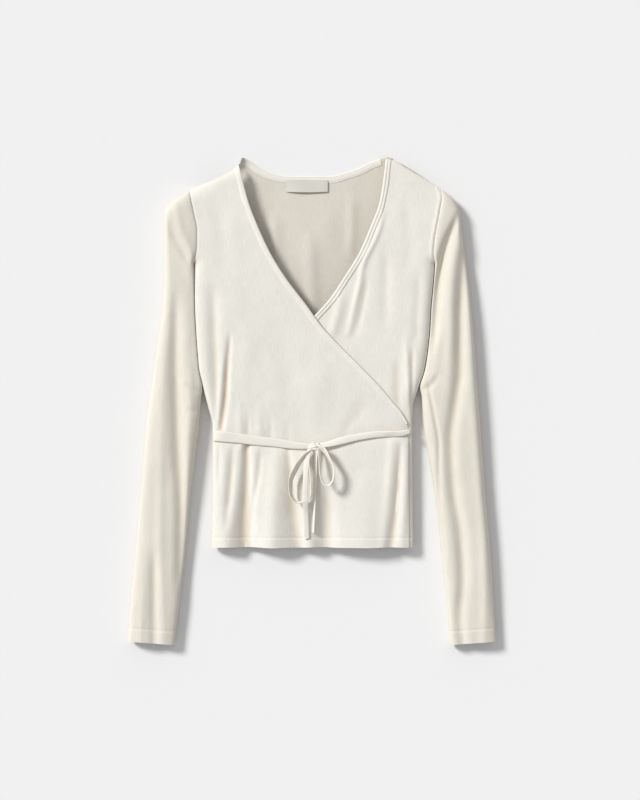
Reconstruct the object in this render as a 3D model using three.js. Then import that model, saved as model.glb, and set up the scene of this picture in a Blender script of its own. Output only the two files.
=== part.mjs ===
// A long-sleeved wrap top in fine rib jersey, laid on a flat surface with its neck towards +Y.
// Millimetres. +X is to the viewer's right, +Z up off the surface, which is at z = 0.
// The garment lies softly filled: its back and the undersides of its sleeves rest flat on the
// surface, and its fronts and the tops of its sleeves arch over them.
import * as THREE from "three";

// ---------------------------------------------------------------- driving sizes
const WALL = 1.5;            // thickness of one layer of jersey
const SEAM_GAP = 0.3;        // between two pieces that are sewn together
const LAYER_STEP = 3;        // from the face of the over front to the face of the under front
const LAYER_SAG = 8.5;       // how much lower the under front lies well inside the over front
const SEAM_HEIGHT = 10;      // height of the side and shoulder folds over the surface
const ROUND = 20;            // how far in from those folds the cloth keeps curving
const HEM_Y = -205;
const WAIST_Y = -36;         // where the over front's neckline ends and its tie starts
const UNDERARM_Y = 192;
const LOWER_ROWS = 11;       // rows of cloth from hem to underarm
const BINDING_WIDE = 8;
const BINDING_THICK = 1.1;
const ON_CLOTH = 0.45;       // from the cloth to what lies on it
const TAPE_WIDE = 9;
const TAPE_STOPS = { left: 19, right: 14 };           // short of the neck points
const OVER_BINDING_STOPS = { waist: 12, neck: 17 };   // short of the tie and of the neck point
const UNDER_BINDING_STOPS = { crossing: 6, neck: 5 };
const LABEL = { x: -7, y: 296.5, wide: 58, high: 15, thick: 1 };
const TIE_WIDE = 13;
const RIGHT_TIE_WIDE = 9.75;
const TIE_THICK = 2;
const TIE_LIFT = 2.2;        // from the cloth to the middle of the tie
const KNOT = { x: 7, y: -64, wide: 16, high: 14, thick: 9, lift: 6.5 };

// How far in from a free edge the first columns of cloth lie.
const EDGE_STEPS = [0, 6.4, 14];

// Shares of the way from the underarm to the shoulder, or across a sleeve, at which rows lie.
const SHARES = [0, 0.026, 0.095, 0.19, 0.33, 0.5, 0.67, 0.81, 0.905, 0.974, 1];

// ---------------------------------------------------------------- outlines
// The body's sides from the hem up to the underarm, then the armhole seams to the shoulder.
const leftSide = [
  { y: HEM_Y, x: -140.5 },
  { y: -120, x: -139.5 },
  { y: WAIST_Y, x: -139.5 },
  { y: -7, x: -146 },
  { y: 20, x: -153 },
  { y: 43, x: -158 },
  { y: 71, x: -160.5 },
  { y: 99, x: -162.5 },
  { y: 127, x: -164 },
  { y: UNDERARM_Y, x: -165 },
  { y: 213, x: -161 },
  { y: 238, x: -160.5 },
  { y: 263, x: -165 },
  { y: 295, x: -172 },
];
const rightSide = [
  { y: HEM_Y, x: 142 },
  { y: -120, x: 141 },
  { y: WAIST_Y, x: 140.5 },
  { y: -7, x: 141.5 },
  { y: 15, x: 148 },
  { y: 43, x: 157.5 },
  { y: 71, x: 162 },
  { y: 99, x: 165 },
  { y: 127, x: 166.5 },
  { y: UNDERARM_Y, x: 171.5 },
  { y: 206, x: 169.5 },
  { y: 225, x: 171 },
  { y: 245, x: 174.5 },
  { y: 266, x: 178.5 },
  { y: 284, x: 181.5 },
  { y: 299, x: 178.5 },
];
// The top edge: shoulder, neck point, back neckline, neck point, shoulder.
const topEdge = [
  { x: -172, y: 295 },
  { x: -103, y: 331 },
  { x: -98, y: 341.5 },
  { x: -69, y: 325.5 },
  { x: -48, y: 318 },
  { x: -28, y: 316 },
  { x: 24, y: 316 },
  { x: 48, y: 321 },
  { x: 67, y: 328 },
  { x: 88, y: 337.5 },
  { x: 104, y: 341.5 },
  { x: 118, y: 336 },
  { x: 178.5, y: 299 },
];
const NECK_LEFT = { x: -103, y: 331 };
const NECK_RIGHT = { x: 104, y: 341.5 };
// The shoulder folds, which stand at the height of the side folds.
const shoulderFolds = [
  [topEdge[0], topEdge[1]],
  [topEdge[1], topEdge[2]],
  [topEdge[10], topEdge[11]],
  [topEdge[11], topEdge[12]],
];
// The over front's free edge: down beside the right side, then up the neckline.
const overEdge = [
  { y: HEM_Y, x: 136 },
  { y: -120, x: 135 },
  { y: WAIST_Y, x: 134.5 },
  { y: -18, x: 126 },
  { y: -1, x: 112 },
  { y: 20, x: 94 },
  { y: 46, x: 69 },
  { y: 70, x: 45 },
  { y: 104, x: 13 },
  { y: 133, x: -8 },
  { y: 174, x: -39 },
  { y: 207, x: -59 },
  { y: 248, x: -78 },
  { y: 280, x: -90 },
  { y: NECK_LEFT.y, x: NECK_LEFT.x },
];
// The under front's free edge, out of sight below y = 118.
const underEdge = [
  { y: HEM_Y, x: -133.5 },
  { y: WAIST_Y, x: -132.5 },
  { y: -14, x: -122 },
  { y: 40, x: -70 },
  { y: 80, x: -32 },
  { y: 118, x: 3 },
  { y: 141, x: 24 },
  { y: 169, x: 43 },
  { y: 206, x: 66 },
  { y: 245, x: 83 },
  { y: 277, x: 95 },
  { y: 314, x: 101 },
  { y: NECK_RIGHT.y, x: NECK_RIGHT.x },
];
const CROSSING_Y = 121;      // where the under front goes in beneath the over front

// Height of the fronts over the surface.
const bodyHeights = [
  { y: HEM_Y, height: 23 },
  { y: -120, height: 22 },
  { y: -52, height: 20 },
  { y: 30, height: 23 },
  { y: 150, height: 26 },
  { y: 240, height: 25 },
  { y: 300, height: 20 },
];

// Each sleeve, a row for each section: its ends towards the body and away from it, its height,
// and how closely it follows the armhole seam.
const leftSleeve = [
  { bodyX: -165.3, bodyY: 192, farX: -172.3, farY: 295, height: 25, seam: 1 },
  { bodyX: -166.2, bodyY: 186, farX: -189.5, farY: 288.5, height: 25, seam: 0.5 },
  { bodyX: -166.4, bodyY: 175, farX: -202, farY: 279.5, height: 24, seam: 0.2 },
  { bodyX: -166.3, bodyY: 160, farX: -207, farY: 261, height: 23, seam: 0 },
  { bodyX: -165.8, bodyY: 140, farX: -206.5, farY: 222, height: 22, seam: 0 },
  { bodyX: -164.6, bodyY: 112, farX: -206.5, farY: 178, height: 22, seam: 0 },
  { bodyX: -162.8, bodyY: 82, farX: -209.5, farY: 128, height: 22, seam: 0 },
  { bodyX: -160.4, bodyY: 50, farX: -217, farY: 76, height: 22, seam: 0 },
  { bodyX: -154.6, bodyY: 20, farX: -223.5, farY: 30, height: 22, seam: 0 },
  { bodyX: -158, bodyY: -30, farX: -230.5, farY: -22, height: 22, seam: 0 },
  { bodyX: -164, bodyY: -80, farX: -235, farY: -73, height: 21, seam: 0 },
  { bodyX: -171, bodyY: -139, farX: -240, farY: -133, height: 20, seam: 0 },
  { bodyX: -179, bodyY: -220, farX: -247.5, farY: -214, height: 20, seam: 0 },
  { bodyX: -187, bodyY: -290, farX: -254, farY: -285, height: 19, seam: 0 },
  { bodyX: -193, bodyY: -341.5, farX: -257.5, farY: -336.5, height: 18, seam: 0 },
];
const rightSleeve = [
  { bodyX: 171.8, bodyY: 192, farX: 178.8, farY: 299, height: 25, seam: 1 },
  { bodyX: 172.5, bodyY: 186, farX: 190.5, farY: 293, height: 25, seam: 0.5 },
  { bodyX: 172, bodyY: 175, farX: 200.5, farY: 284, height: 24, seam: 0.2 },
  { bodyX: 170.7, bodyY: 160, farX: 206.5, farY: 266, height: 23, seam: 0 },
  { bodyX: 168.9, bodyY: 140, farX: 210, farY: 234, height: 22, seam: 0 },
  { bodyX: 167.1, bodyY: 112, farX: 216, farY: 192, height: 22, seam: 0 },
  { bodyX: 164.9, bodyY: 82, farX: 222, farY: 140, height: 22, seam: 0 },
  { bodyX: 160.9, bodyY: 50, farX: 227, farY: 84, height: 22, seam: 0 },
  { bodyX: 153.5, bodyY: 20, farX: 230.5, farY: 34, height: 22, seam: 0 },
  { bodyX: 156, bodyY: -32, farX: 235, farY: -24, height: 22, seam: 0 },
  { bodyX: 163.5, bodyY: -80, farX: 238.5, farY: -73, height: 21, seam: 0 },
  { bodyX: 173.5, bodyY: -139, farX: 243, farY: -133, height: 20, seam: 0 },
  { bodyX: 182, bodyY: -220, farX: 250, farY: -214, height: 20, seam: 0 },
  { bodyX: 190, bodyY: -290, farX: 254.5, farY: -285, height: 19, seam: 0 },
  { bodyX: 193, bodyY: -341.5, farX: 257.5, farY: -336.5, height: 18, seam: 0 },
];

// The largest folds: a soft trough (a negative rise) or ridge from one place to another.
const bodyFolds = [
  { fromX: -143, fromY: 150, toX: -137, toY: -30, wide: 16, rise: -3 },
  { fromX: -119, fromY: 90, toX: -130, toY: -40, wide: 14, rise: -4 },
  { fromX: -94, fromY: -55, toX: -102, toY: -300, wide: 17, rise: -7 },
  { fromX: -64, fromY: -70, toX: -69, toY: -300, wide: 18, rise: 3 },
  { fromX: -41, fromY: -70, toX: -26, toY: -300, wide: 18, rise: -6 },
  { fromX: 12, fromY: -110, toX: 9, toY: -300, wide: 16, rise: -5 },
];
const leftSleeveFolds = [
  { fromX: -196, fromY: 160, toX: -189, toY: -250, wide: 12, rise: -5 },
  { fromX: -225, fromY: -215, toX: -226, toY: -400, wide: 11, rise: -3 },
];
const rightSleeveFolds = [
  { fromX: 200, fromY: 262, toX: 180, toY: 120, wide: 12, rise: -6 },
  { fromX: 206, fromY: 190, toX: 189, toY: -90, wide: 12, rise: -4 },
  { fromX: 189, fromY: -50, toX: 206, toY: -290, wide: 13, rise: -4 },
];

// Routes of the tie, with the height of its middle over the cloth where it stands off it.
const leftTieRoute = [
  { x: -135, y: -48, lift: 3.8 },
  { x: -112, y: -50, lift: 3 },
  { x: -81, y: -54 },
  { x: -53, y: -58 },
  { x: -29, y: -61 },
  { x: -12, y: -62.5, lift: 3.5 },
  { x: -1.6, y: -63, lift: 6 },
];
const rightTieRoute = [
  { x: 15.6, y: -63, lift: 6 },
  { x: 26, y: -61, lift: 4 },
  { x: 45, y: -55, lift: 3 },
  { x: 69, y: -49 },
  { x: 94, y: -46 },
  { x: 118, y: -45.5 },
  { x: 133, y: -43, lift: 3 },
];
const leftLoopRoute = [
  { x: -3, y: -71, lift: 12.5 },
  { x: -13, y: -80, lift: 14 },
  { x: -25, y: -101, lift: 12 },
  { x: -29.5, y: -119, lift: 10 },
  { x: -26, y: -135, lift: 9 },
  { x: -18, y: -140, lift: 11 },
  { x: -12, y: -129, lift: 14 },
  { x: -8, y: -108, lift: 15.5 },
  { x: -4, y: -87, lift: 15 },
  { x: 2.5, y: -70.4, lift: 10 },
];
const rightLoopRoute = [
  { x: 17.5, y: -70, lift: 13 },
  { x: 25, y: -78, lift: 16 },
  { x: 30.5, y: -95, lift: 19 },
  { x: 30, y: -110, lift: 19 },
  { x: 22, y: -118, lift: 18 },
  { x: 14, y: -110, lift: 17 },
  { x: 11.5, y: -95, lift: 16 },
  { x: 11, y: -69.6, lift: 9 },
];
const tails = [
  {
    name: "tie_tail_long",
    tilt: 0.9,
    route: [
      { x: -4, y: -84, lift: 4.6 },
      { x: -6.5, y: -110, lift: 4.6 },
      { x: -7.5, y: -150, lift: 4.6 },
      { x: -7.5, y: -191, lift: 4.6 },
    ],
  },
  {
    name: "tie_tail_short",
    tilt: 1.1,
    route: [
      { x: 5, y: -84, lift: 7 },
      { x: 5, y: -110, lift: 6 },
      { x: 4, y: -145, lift: 5.5 },
      { x: 3, y: -180, lift: 5.5 },
    ],
  },
];
const TAIL_WIDE = 8;
const LOOP_WIDE = 12;
const LOOP_TILT = 1.15;      // radians that the loops' ribbon is turned up on its edge

// ---------------------------------------------------------------- small mathematics
const clamp = (value, low, high) => Math.min(Math.max(value, low), high);
const mix = (a, b, share) => a + (b - a) * share;
const quarter = (share) => Math.sqrt(1 - (1 - clamp(share, 0, 1)) ** 2);

function smooth(low, high, value) {
  const share = clamp((value - low) / (high - low), 0, 1);
  return share * share * (3 - 2 * share);
}

// Slope of a table's curve at one of its rows, which never makes the curve overshoot.
function slopeAt(table, from, to, row) {
  const step = (k) => (table[k + 1][to] - table[k][to]) / (table[k + 1][from] - table[k][from]);
  if (row === 0) return step(0);
  if (row === table.length - 1) return step(row - 1);
  const before = step(row - 1);
  const after = step(row);
  return before * after <= 0 ? 0 : (2 * before * after) / (before + after);
}

// Value of column `to` where column `from` has the given value, on a smooth curve.
function read(table, from, to, value) {
  const last = table.length - 1;
  const at = clamp(value, table[0][from], table[last][from]);
  const next = clamp(table.findIndex((row) => row[from] >= at), 1, last);
  const start = table[next - 1];
  const end = table[next];
  const span = end[from] - start[from];
  const t = (at - start[from]) / span;
  const startSlope = slopeAt(table, from, to, next - 1) * span;
  const endSlope = slopeAt(table, from, to, next) * span;
  return (
    (2 * t ** 3 - 3 * t ** 2 + 1) * start[to] +
    (t ** 3 - 2 * t ** 2 + t) * startSlope +
    (3 * t ** 2 - 2 * t ** 3) * end[to] +
    (t ** 3 - t ** 2) * endSlope
  );
}

const leftX = (y) => read(leftSide, "y", "x", y);
const rightX = (y) => read(rightSide, "y", "x", y);
const overX = (y) => read(overEdge, "y", "x", y);
const underX = (y) => read(underEdge, "y", "x", y);
const topY = (x) => read(topEdge, "x", "y", x);

function segmentDistance(x, y, [a, b]) {
  const length = Math.hypot(b.x - a.x, b.y - a.y);
  const along = ((x - a.x) * (b.x - a.x) + (y - a.y) * (b.y - a.y)) / length ** 2;
  const share = clamp(along, 0, 1);
  return Math.hypot(x - mix(a.x, b.x, share), y - mix(a.y, b.y, share));
}

// ---------------------------------------------------------------- heights of the cloth
// How far a place on the body is in from the side and shoulder folds.
function foldDistance(x, y) {
  const above = Math.max(y - UNDERARM_Y, 0);
  const left = Math.hypot(x - leftX(Math.min(y, UNDERARM_Y)), above);
  const right = Math.hypot(rightX(Math.min(y, UNDERARM_Y)) - x, above);
  const shoulders = shoulderFolds.map((fold) => segmentDistance(x, y, fold));
  return Math.min(left, right, ...shoulders);
}

// Rise of all the folds in a table at one place. A fold fades towards both its ends.
function foldRise(folds, x, y) {
  let rise = 0;
  for (const fold of folds) {
    const runX = fold.toX - fold.fromX;
    const runY = fold.toY - fold.fromY;
    const length = Math.hypot(runX, runY);
    const along = ((x - fold.fromX) * runX + (y - fold.fromY) * runY) / length ** 2;
    const across = ((x - fold.fromX) * runY - (y - fold.fromY) * runX) / length;
    const fade = smooth(0, 0.3, along) * smooth(1, 0.7, along);
    rise += fold.rise * fade * Math.exp(-((across / fold.wide) ** 2) * 2);
  }
  return rise;
}

// Height of a layer of the fronts. Depth counts inwards from the outermost face.
function frontHeight(x, y, depth, folds) {
  const round = quarter((foldDistance(x, y) - depth) / (ROUND - depth));
  const height = read(bodyHeights, "y", "height", y) - depth - SEAM_HEIGHT;
  return SEAM_HEIGHT + (height + foldRise(folds, x, y)) * round;
}

function backHeight(x, y, depth) {
  const round = quarter((foldDistance(x, y) - depth) / (ROUND - depth));
  return depth + (SEAM_HEIGHT - SEAM_GAP - depth) * (1 - round);
}

// The under front is just beneath the over front at its edge, sags further in, and comes out
// to the garment's face at its own side seam and armhole.
function underDepth(x, y) {
  const inside = overX(y) - x;
  const sag = LAYER_SAG * smooth(6, 45, inside);
  const uncovered = smooth(overX(y), rightX(y), x);
  return (LAYER_STEP + sag) * (1 - uncovered);
}

// ---------------------------------------------------------------- solids from cloth points
// Closed wall between two grids of points, outer and inner, each grid[row][column].
function wallGeometry(outer, inner, closedRows) {
  const rows = outer.length;
  const columns = outer[0].length;
  const points = [...outer.flat(), ...inner.flat()];
  const index = (layer, row, column) =>
    layer * rows * columns + row * columns + (column % columns);
  const faces = [];
  const quad = (a, b, c, d) => faces.push(a, b, c, a, c, d);
  const lastColumn = closedRows ? columns : columns - 1;
  for (let i = 0; i < rows - 1; i++) {
    for (let j = 0; j < lastColumn; j++) {
      quad(index(0, i, j), index(0, i, j + 1), index(0, i + 1, j + 1), index(0, i + 1, j));
      quad(index(1, i, j), index(1, i + 1, j), index(1, i + 1, j + 1), index(1, i, j + 1));
    }
  }
  for (let j = 0; j < lastColumn; j++) {
    const end = rows - 1;
    quad(index(0, 0, j), index(1, 0, j), index(1, 0, j + 1), index(0, 0, j + 1));
    quad(index(0, end, j), index(0, end, j + 1), index(1, end, j + 1), index(1, end, j));
  }
  for (let i = 0; i < rows - 1 && !closedRows; i++) {
    const end = columns - 1;
    quad(index(0, i, 0), index(0, i + 1, 0), index(1, i + 1, 0), index(1, i, 0));
    quad(index(0, i, end), index(1, i, end), index(1, i + 1, end), index(0, i + 1, end));
  }
  return facingOut(points, faces);
}

// Geometry of a closed body, with its faces turned outwards whichever way they were wound.
function facingOut(points, faces) {
  let volume = 0;
  for (let k = 0; k < faces.length; k += 3) {
    const [a, b, c] = [points[faces[k]], points[faces[k + 1]], points[faces[k + 2]]];
    volume += a.dot(new THREE.Vector3().crossVectors(b, c));
  }
  const turned = volume < 0 ? [...faces].reverse() : faces;
  const geometry = new THREE.BufferGeometry().setFromPoints(points);
  geometry.setIndex(turned);
  geometry.computeVertexNormals();
  return geometry;
}

// Columns of a body panel: close together where it curves down at a fold.
const curveIn = [0, 22.5, 45, 67.5, 90].map(
  (angle) => ROUND * (1 - Math.cos(THREE.MathUtils.degToRad(angle)))
);

function panelColumns(panel, from, to) {
  const start = panel.foldAtStart ? curveIn : EDGE_STEPS;
  const end = panel.foldAtEnd ? curveIn : EDGE_STEPS;
  const middle = panel.shares.map((share) => mix(from + start.at(-1), to - end.at(-1), share));
  return [...start.map((d) => from + d), ...middle, ...end.map((d) => to - d).reverse()];
}

// Even shares of the way from one place to another, without the first.
function evenShares(from, to, count) {
  return Array.from({ length: count }, (_, k) => mix(from, to, (k + 1) / count));
}

// One face of a body panel. `depth` is how far in its face lies from the panel's outer face.
function panelGrid(panel, depth) {
  const { from, to, foldAtStart, foldAtEnd, height } = panel;
  const tops = panelColumns(panel, from(NECK_RIGHT.y), to(NECK_RIGHT.y)).map((x) => {
    const neckline = x > NECK_LEFT.x + 1 && x < NECK_RIGHT.x;
    return neckline ? topY(x) : topY(x) - depth;
  });
  const lowerRows = Array.from({ length: LOWER_ROWS }, (_, k) => ({
    y: mix(HEM_Y, UNDERARM_Y, k / LOWER_ROWS),
  }));
  const rows = [...lowerRows, ...SHARES.map((share) => ({ share }))];
  return rows.map((row) =>
    tops.map((top, column) => {
      const y = row.y ?? mix(UNDERARM_Y, top, row.share);
      const hold = 1 - smooth(UNDERARM_Y, UNDERARM_Y + ROUND, y);
      const start = from(y) + (foldAtStart ? depth * hold : 0);
      const end = to(y) - (foldAtEnd ? depth * hold : 0);
      const x = panelColumns(panel, start, end)[column];
      return new THREE.Vector3(x, y, height(x, y, depth));
    })
  );
}

function panelGeometry(panel) {
  return wallGeometry(panelGrid(panel, 0), panelGrid(panel, WALL), false);
}

const overFront = {
  from: leftX,
  to: overX,
  foldAtStart: true,
  foldAtEnd: false,
  shares: evenShares(0, 1, 12).slice(0, -1),
  height: (x, y, depth) => frontHeight(x, y, depth, bodyFolds),
};
const underFront = {
  from: underX,
  to: rightX,
  foldAtStart: false,
  foldAtEnd: true,
  shares: evenShares(0, 1, 12).slice(0, -1),
  height: (x, y, depth) => frontHeight(x, y, depth + underDepth(x, y), []),
};
// The back's columns close up at the peak of cloth at each end of its neckline.
const backWidth = topEdge.at(-1).x - topEdge[0].x - 2 * ROUND;
const leftPeak = (topEdge[2].x - topEdge[0].x - ROUND) / backWidth;
const rightPeak = (NECK_RIGHT.x - topEdge[0].x - ROUND) / backWidth;
const peakSteps = curveIn.slice(1).map((distance) => distance / backWidth);
const neckStart = leftPeak + peakSteps.at(-1);
const neckEnd = rightPeak - peakSteps.at(-1);
const back = {
  from: leftX,
  to: rightX,
  foldAtStart: true,
  foldAtEnd: true,
  shares: [
    ...evenShares(0, leftPeak, 3),
    ...peakSteps.map((step) => leftPeak + step),
    ...evenShares(neckStart, neckEnd, 6),
    ...peakSteps.slice(0, -1).map((step) => rightPeak - step).reverse(),
    rightPeak,
    ...evenShares(rightPeak, 1, 3).slice(0, -1),
  ],
  height: backHeight,
};

// A ring of a sleeve, as far in from its outer face as `depth`: over its top, then back under.
function sleeveRing(section, side, folds, depth) {
  const { bodyX, bodyY, farX, farY, height, seam } = section;
  const outwards = Math.sign(bodyX);
  const width = Math.hypot(farX - bodyX, farY - bodyY);
  const place = (share, over) => {
    const distance = mix(depth, width - depth, share);
    const y = mix(bodyY, farY, distance / width);
    const straight = mix(bodyX, farX, distance / width);
    const x = mix(straight, side(Math.max(y, UNDERARM_Y)) + outwards * SEAM_GAP, seam);
    const inset = Math.min(distance, width - distance) - depth;
    const round = quarter(inset / (ROUND - depth));
    if (!over) return new THREE.Vector3(x, y, depth + (SEAM_HEIGHT - depth) * (1 - round));
    const rise = height - depth - SEAM_HEIGHT + foldRise(folds, x, y) * (1 - seam);
    const own = SEAM_HEIGHT + rise * round;
    return new THREE.Vector3(x, y, mix(own, frontHeight(x, y, depth, []), seam));
  };
  const under = SHARES.slice(1, -1).reverse();
  return [...SHARES.map((s) => place(s, true)), ...under.map((s) => place(s, false))];
}

function sleeveGeometry(sections, side, folds) {
  const outer = sections.map((section) => sleeveRing(section, side, folds, 0));
  const inner = sections.map((section) => sleeveRing(section, side, folds, WALL));
  return wallGeometry(outer, inner, true);
}

// ---------------------------------------------------------------- strips
// Closed strip of rectangular section through stations: centre, across, out, wide, thick.
function stripGeometry(stations) {
  const rings = stations.map(({ centre, across, out, wide, thick }) =>
    [[1, 1], [-1, 1], [-1, -1], [1, -1]].map(([side, face]) =>
      centre
        .clone()
        .addScaledVector(across, (side * wide) / 2)
        .addScaledVector(out, (face * thick) / 2)
    )
  );
  const points = rings.flat();
  const faces = [];
  const last = rings.length - 1;
  for (let i = 0; i < last; i++) {
    for (let j = 0; j < 4; j++) {
      const [a, b] = [4 * i + j, 4 * i + ((j + 1) % 4)];
      faces.push(a, b, b + 4, a, b + 4, a + 4);
    }
  }
  faces.push(0, 2, 1, 0, 3, 2);
  faces.push(4 * last, 4 * last + 1, 4 * last + 2, 4 * last, 4 * last + 2, 4 * last + 3);
  return facingOut(points, faces);
}

// Stations of a strip that lies on the cloth from an edge inwards, between two heights.
function edgeStations(count, edgePlace, inwards, wide, thick, height) {
  const stations = [];
  for (let k = 0; k <= count; k++) {
    const place = edgePlace(k / count);
    const ahead = edgePlace(Math.min(k / count + 0.01, 1));
    const behind = edgePlace(Math.max(k / count - 0.01, 0));
    const tangent = new THREE.Vector2(ahead.x - behind.x, ahead.y - behind.y).normalize();
    const turn = new THREE.Vector2(-tangent.y, tangent.x).multiplyScalar(inwards * wide);
    const outer = new THREE.Vector3(place.x, place.y, height(place.x, place.y));
    const [x, y] = [place.x + turn.x, place.y + turn.y];
    const inner = new THREE.Vector3(x, y, height(x, y));
    const across = inner.clone().sub(outer);
    const flat = new THREE.Vector3(tangent.x, tangent.y, 0);
    const out = new THREE.Vector3().crossVectors(flat, across).normalize();
    if (out.z < 0) out.negate();
    const centre = outer.add(inner).multiplyScalar(0.5);
    centre.addScaledVector(out, ON_CLOTH + thick / 2);
    stations.push({ centre, across: across.clone().normalize(), out, wide, thick });
  }
  return stations;
}

function bindingGeometry(edgeX, fromY, toY, inwards, height) {
  const place = (share) => {
    const y = mix(fromY, toY, share);
    return { x: edgeX(y), y };
  };
  const stations = edgeStations(20, place, inwards, BINDING_WIDE, BINDING_THICK, height);
  return stripGeometry(stations);
}

function neckTapeGeometry() {
  const place = (share) => {
    const x = mix(NECK_LEFT.x + TAPE_STOPS.left, NECK_RIGHT.x - TAPE_STOPS.right, share);
    return { x, y: topY(x) - 1 };
  };
  const height = (x, y) => backHeight(x, y, WALL);
  return stripGeometry(edgeStations(22, place, -1, TAPE_WIDE, BINDING_THICK, height));
}

// A tie's ribbon along a route over the cloth, turned up on its edge by `tilt`.
function ribbonGeometry(route, steps, wide, tilt) {
  const places = route.map(({ x, y, lift }) => {
    const clear = lift ?? TIE_LIFT;
    return new THREE.Vector3(x, y, frontHeight(x, y, 0, bodyFolds) + clear);
  });
  const curve = new THREE.CatmullRomCurve3(places, false, "centripetal");
  const stations = [];
  for (let k = 0; k <= steps; k++) {
    const centre = curve.getPointAt(k / steps);
    const tangent = curve.getTangentAt(k / steps);
    const level = new THREE.Vector3(-tangent.y, tangent.x, 0).normalize();
    const across = level.applyAxisAngle(tangent, tilt);
    const out = new THREE.Vector3().crossVectors(tangent, across).normalize();
    stations.push({ centre, across, out, wide, thick: TIE_THICK });
  }
  return stripGeometry(stations);
}

function knotGeometry() {
  const geometry = new THREE.SphereGeometry(0.5, 12, 8);
  geometry.scale(KNOT.wide, KNOT.high, KNOT.thick);
  return geometry;
}

// ---------------------------------------------------------------- the garment
const garment = new THREE.Group();
garment.name = "wrap_top";

function addPiece(name, geometry, { colour, roughness }) {
  const material = new THREE.MeshStandardMaterial({ color: colour, roughness, metalness: 0 });
  const mesh = new THREE.Mesh(geometry, material);
  mesh.name = name;
  garment.add(mesh);
  return mesh;
}

const JERSEY = { colour: "#e9e4d8", roughness: 0.8 };
const BINDING = { colour: "#ece8dd", roughness: 0.75 };
const LABEL_CLOTH = { colour: "#efece4", roughness: 0.6 };

addPiece("back", panelGeometry(back), JERSEY);
addPiece("front_over", panelGeometry(overFront), JERSEY);
addPiece("front_under", panelGeometry(underFront), JERSEY);
addPiece("sleeve_left", sleeveGeometry(leftSleeve, leftX, leftSleeveFolds), JERSEY);
addPiece("sleeve_right", sleeveGeometry(rightSleeve, rightX, rightSleeveFolds), JERSEY);

const overFace = (x, y) => frontHeight(x, y, 0, bodyFolds);
const underFace = (x, y) => underFront.height(x, y, 0);
const overBindingFrom = WAIST_Y + OVER_BINDING_STOPS.waist;
const overBindingTo = NECK_LEFT.y - OVER_BINDING_STOPS.neck;
const underBindingFrom = CROSSING_Y + UNDER_BINDING_STOPS.crossing;
const underBindingTo = NECK_RIGHT.y - UNDER_BINDING_STOPS.neck;
const overBinding = bindingGeometry(overX, overBindingFrom, overBindingTo, 1, overFace);
const underBinding = bindingGeometry(underX, underBindingFrom, underBindingTo, -1, underFace);
addPiece("binding_over_front", overBinding, BINDING);
addPiece("binding_under_front", underBinding, BINDING);
addPiece("neck_tape", neckTapeGeometry(), BINDING);

const label = new THREE.BoxGeometry(LABEL.wide, LABEL.high, LABEL.thick);
const labelMesh = addPiece("neck_label", label, LABEL_CLOTH);
labelMesh.position.set(LABEL.x, LABEL.y, WALL + ON_CLOTH + LABEL.thick / 2);

addPiece("tie_left", ribbonGeometry(leftTieRoute, 16, TIE_WIDE, 0), BINDING);
addPiece("tie_right", ribbonGeometry(rightTieRoute, 16, RIGHT_TIE_WIDE, 0), BINDING);
const knot = addPiece("tie_knot", knotGeometry(), BINDING);
knot.position.set(KNOT.x, KNOT.y, overFace(KNOT.x, KNOT.y) + KNOT.lift);
addPiece("tie_loop_left", ribbonGeometry(leftLoopRoute, 24, LOOP_WIDE, LOOP_TILT), BINDING);
addPiece("tie_loop_right", ribbonGeometry(rightLoopRoute, 20, LOOP_WIDE, LOOP_TILT), BINDING);
for (const { name, route, tilt } of tails) {
  addPiece(name, ribbonGeometry(route, 10, TAIL_WIDE, tilt), BINDING);
}

export default garment;
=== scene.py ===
import math

import bpy
import numpy as np
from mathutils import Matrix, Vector, noise


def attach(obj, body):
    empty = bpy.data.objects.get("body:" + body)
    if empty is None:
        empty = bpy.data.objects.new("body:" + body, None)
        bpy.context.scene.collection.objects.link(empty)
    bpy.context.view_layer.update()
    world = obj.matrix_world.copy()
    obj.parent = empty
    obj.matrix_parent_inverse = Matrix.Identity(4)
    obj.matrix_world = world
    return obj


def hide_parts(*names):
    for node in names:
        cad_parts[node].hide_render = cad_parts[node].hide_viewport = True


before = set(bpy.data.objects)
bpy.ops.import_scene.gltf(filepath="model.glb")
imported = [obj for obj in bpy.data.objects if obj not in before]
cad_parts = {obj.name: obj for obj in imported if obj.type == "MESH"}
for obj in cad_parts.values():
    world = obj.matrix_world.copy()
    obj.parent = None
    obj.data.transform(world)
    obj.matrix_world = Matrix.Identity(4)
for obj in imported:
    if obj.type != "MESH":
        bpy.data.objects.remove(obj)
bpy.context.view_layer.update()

MM = 0.001

# ---------------------------------------------------------------- sizes, in millimetres
CLOTH = 0.8               # one layer of jersey
SEAM_GAP = 0.3
# From the over front down to the under front at its free edge.
LAYER_STEPS = [(-205, 1.3), (-36, 1.4), (20, 1.8), (90, 2.8), (121, 3), (331, 3)]
LAYER_SAG = 8.5
SEAM_HEIGHT = 10.0        # side and shoulder folds over the surface
ROUND = 20.0              # how far in the cloth keeps curving
HEM_Y = -205.0
WAIST_Y = -36.0
UNDERARM_Y = 192.0
CROSSING_Y = 121.0
NECK_LEFT = (-103.0, 331.0)
NECK_RIGHT = (104.0, 341.5)

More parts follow.
